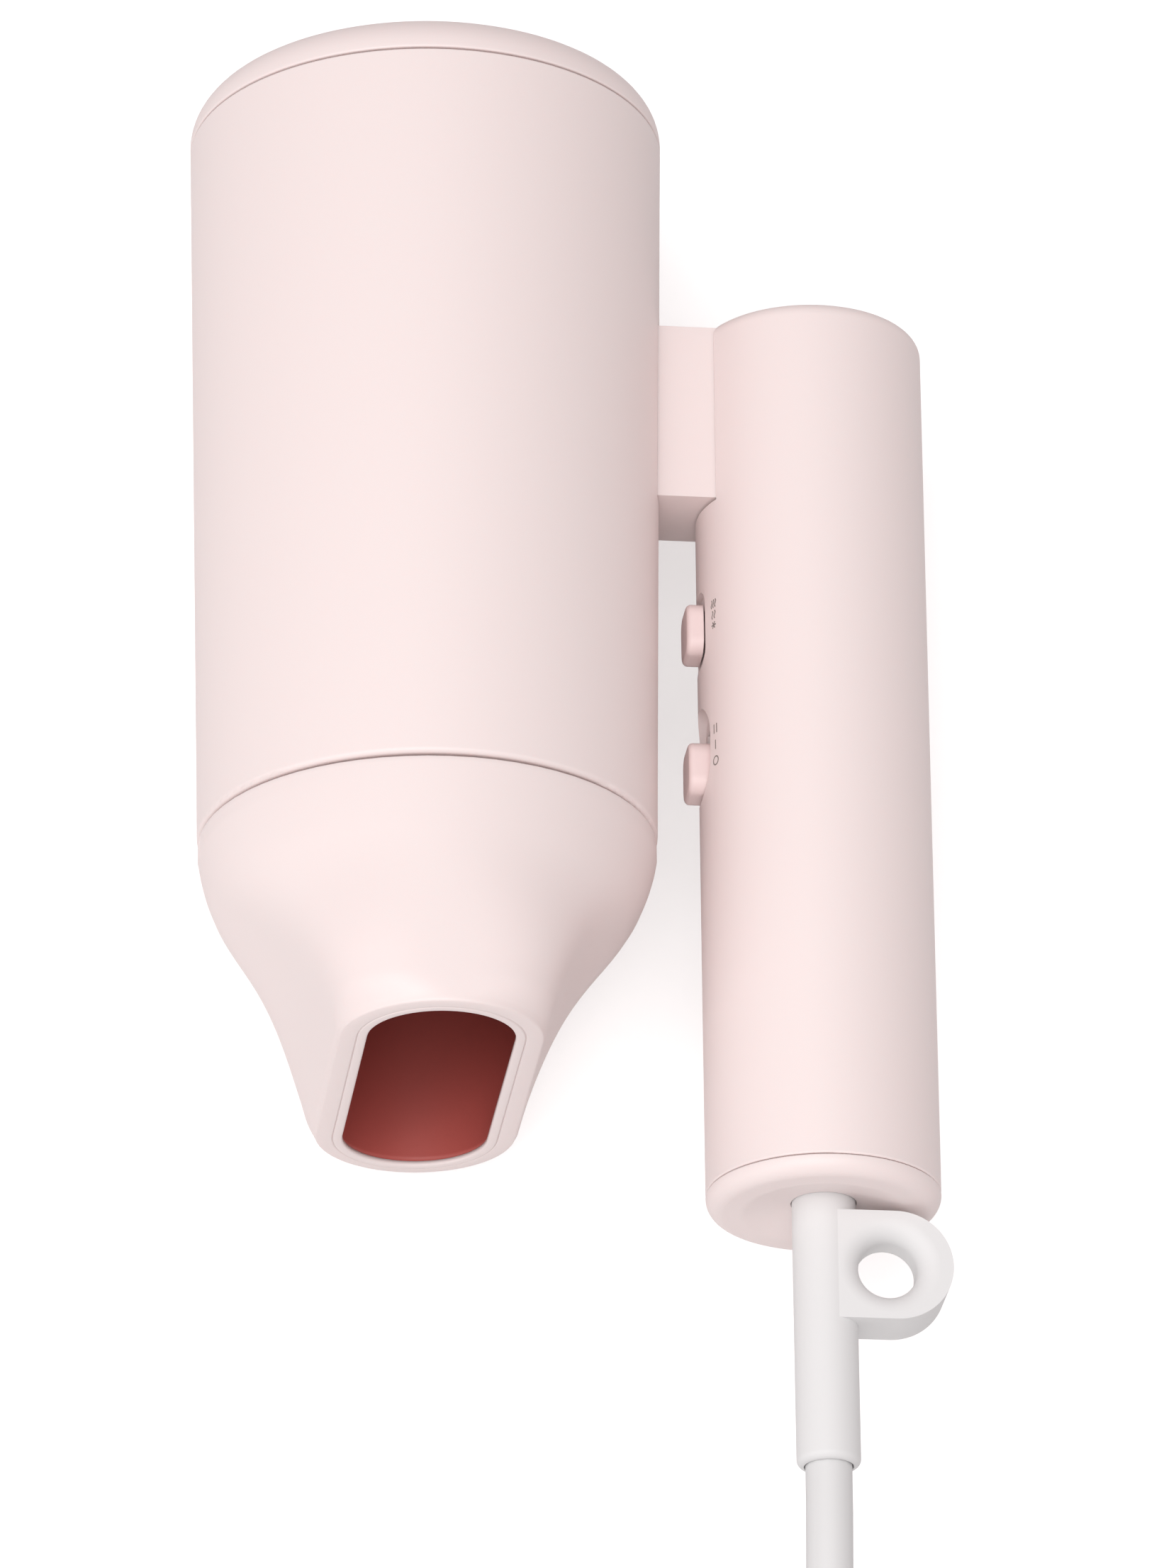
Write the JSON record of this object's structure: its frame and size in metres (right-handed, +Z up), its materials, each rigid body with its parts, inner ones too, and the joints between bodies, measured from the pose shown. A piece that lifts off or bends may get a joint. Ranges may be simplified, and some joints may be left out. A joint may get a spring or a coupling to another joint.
{
  "type": "travel hair dryer",
  "caption": "Compact folding hair dryer with a round barrel, a turning pull-off slot nozzle, a tubular handle that folds beside the barrel, slide switches and a hang loop at the cord.",
  "frame": {"origin": "on the surface it lies on, below the middle of the dryer without its cord and plug", "axes": "+Z up, +Y along the barrel from the air outlet to the rear air inlet, +X from the barrel to the folded handle"},
  "size_m": [0.132, 0.3836, 0.0718],
  "materials": {
    "pink_shell": "fine satin moulded",
    "pink_knob": "satin moulded",
    "pink_grille": "satin moulded",
    "maroon_liner": "smooth moulded",
    "filter_cloth": "fine woven mesh",
    "black_heat_plastic": "matt heat-resistant",
    "glass_filled_nylon": "matt, natural",
    "black_switch_plastic": "matt",
    "plated_magnet": "nickel plated",
    "zinc_plated_steel": "zinc plated",
    "ground_steel": "ground",
    "spring_steel": "drawn wire",
    "brass_bush": "turned",
    "mica_board": "flaky silvery brown",
    "heating_wire": "drawn, oxidised",
    "wire_insulation": "smooth",
    "circuit_board": "solder mask",
    "board_component": "moulded",
    "grey_cord": "smooth matt",
    "grey_relief": "soft matt",
    "grey_tie": "soft matt",
    "grey_plug": "smooth",
    "plug_pin_metal": "nickel plated"
  },
  "bodies": {
    "barrel": {"barrel_shell": "pink_shell", "outlet_collar": "black_heat_plastic", "collar_magnets": "plated_magnet", "outlet_grille": "black_heat_plastic", "fan_duct": "black_heat_plastic", "motor_can": "zinc_plated_steel", "motor_end_cap": "black_heat_plastic", "mica_board_flat": "mica_board", "mica_board_upright": "mica_board", "heater_element": "heating_wire", "mica_sleeve": "mica_board", "thermostat": "zinc_plated_steel", "thermal_fuse": "zinc_plated_steel", "hinge_tongue": "pink_shell", "tongue_screws": "zinc_plated_steel", "hinge_bushes": "brass_bush", "barrel_wires": "wire_insulation"},
    "rear_cover": {"rear_cover_ring": "pink_shell", "inlet_grille": "pink_grille", "filter_mesh": "filter_cloth"},
    "fan": {"motor_shaft": "ground_steel", "fan_impeller": "black_heat_plastic"},
    "nozzle_ring": {"nozzle_ring": "zinc_plated_steel"},
    "nozzle": {"nozzle_shell": "pink_shell", "nozzle_liner": "maroon_liner"},
    "handle": {"handle_shell": "pink_shell", "handle_end_cap": "pink_shell", "hinge_fork": "glass_filled_nylon", "hinge_pin": "ground_steel", "detent_plunger": "ground_steel", "detent_spring": "spring_steel", "spring_stop": "glass_filled_nylon", "switch_frame": "glass_filled_nylon", "speed_switch_body": "black_switch_plastic", "heat_switch_body": "black_switch_plastic", "control_board": "circuit_board", "board_components": "board_component", "cord_clamp": "glass_filled_nylon", "clamp_screws": "zinc_plated_steel", "inner_cord": "grey_cord", "handle_wires": "wire_insulation", "strain_relief": "grey_relief", "power_cord": "grey_cord", "cord_coil": "grey_cord", "cord_end": "grey_cord", "cord_tie": "grey_tie", "plug_body": "grey_plug", "plug_pins": "plug_pin_metal"},
    "speed_switch": {"speed_knob": "pink_knob", "speed_slider": "black_switch_plastic"},
    "heat_switch": {"heat_knob": "pink_knob", "heat_slider": "black_switch_plastic"}
  },
  "joints": [
    {"name": "handle_fold", "type": "hinge", "parent": "barrel", "child": "handle", "pos_m": [0.03785, 0.05665, 0.03591], "axis": [0, 0, 1], "range_deg": [0, 90]},
    {"name": "nozzle_pull", "type": "slide", "parent": "barrel", "child": "nozzle_ring", "axis": [0, -1, 0], "range_m": [0, 0.03]},
    {"name": "nozzle_turn", "type": "hinge", "parent": "nozzle_ring", "child": "nozzle", "pos_m": [-0.02034, -0.01485, 0.03591], "axis": [0, 1, 0], "continuous": true},
    {"name": "fan_spin", "type": "hinge", "parent": "barrel", "child": "fan", "pos_m": [-0.02034, 0.07735, 0.03591], "axis": [0, 1, 0], "continuous": true},
    {"name": "cover_pull", "type": "slide", "parent": "barrel", "child": "rear_cover", "axis": [0, 1, 0], "range_m": [0, 0.02]},
    {"name": "speed_slide", "type": "slide", "parent": "handle", "child": "speed_switch", "axis": [0, 1, 0], "range_m": [0, 0.0052]},
    {"name": "heat_slide", "type": "slide", "parent": "handle", "child": "heat_switch", "axis": [0, 1, 0], "range_m": [-0.0016, 0.0016]}
  ]
}
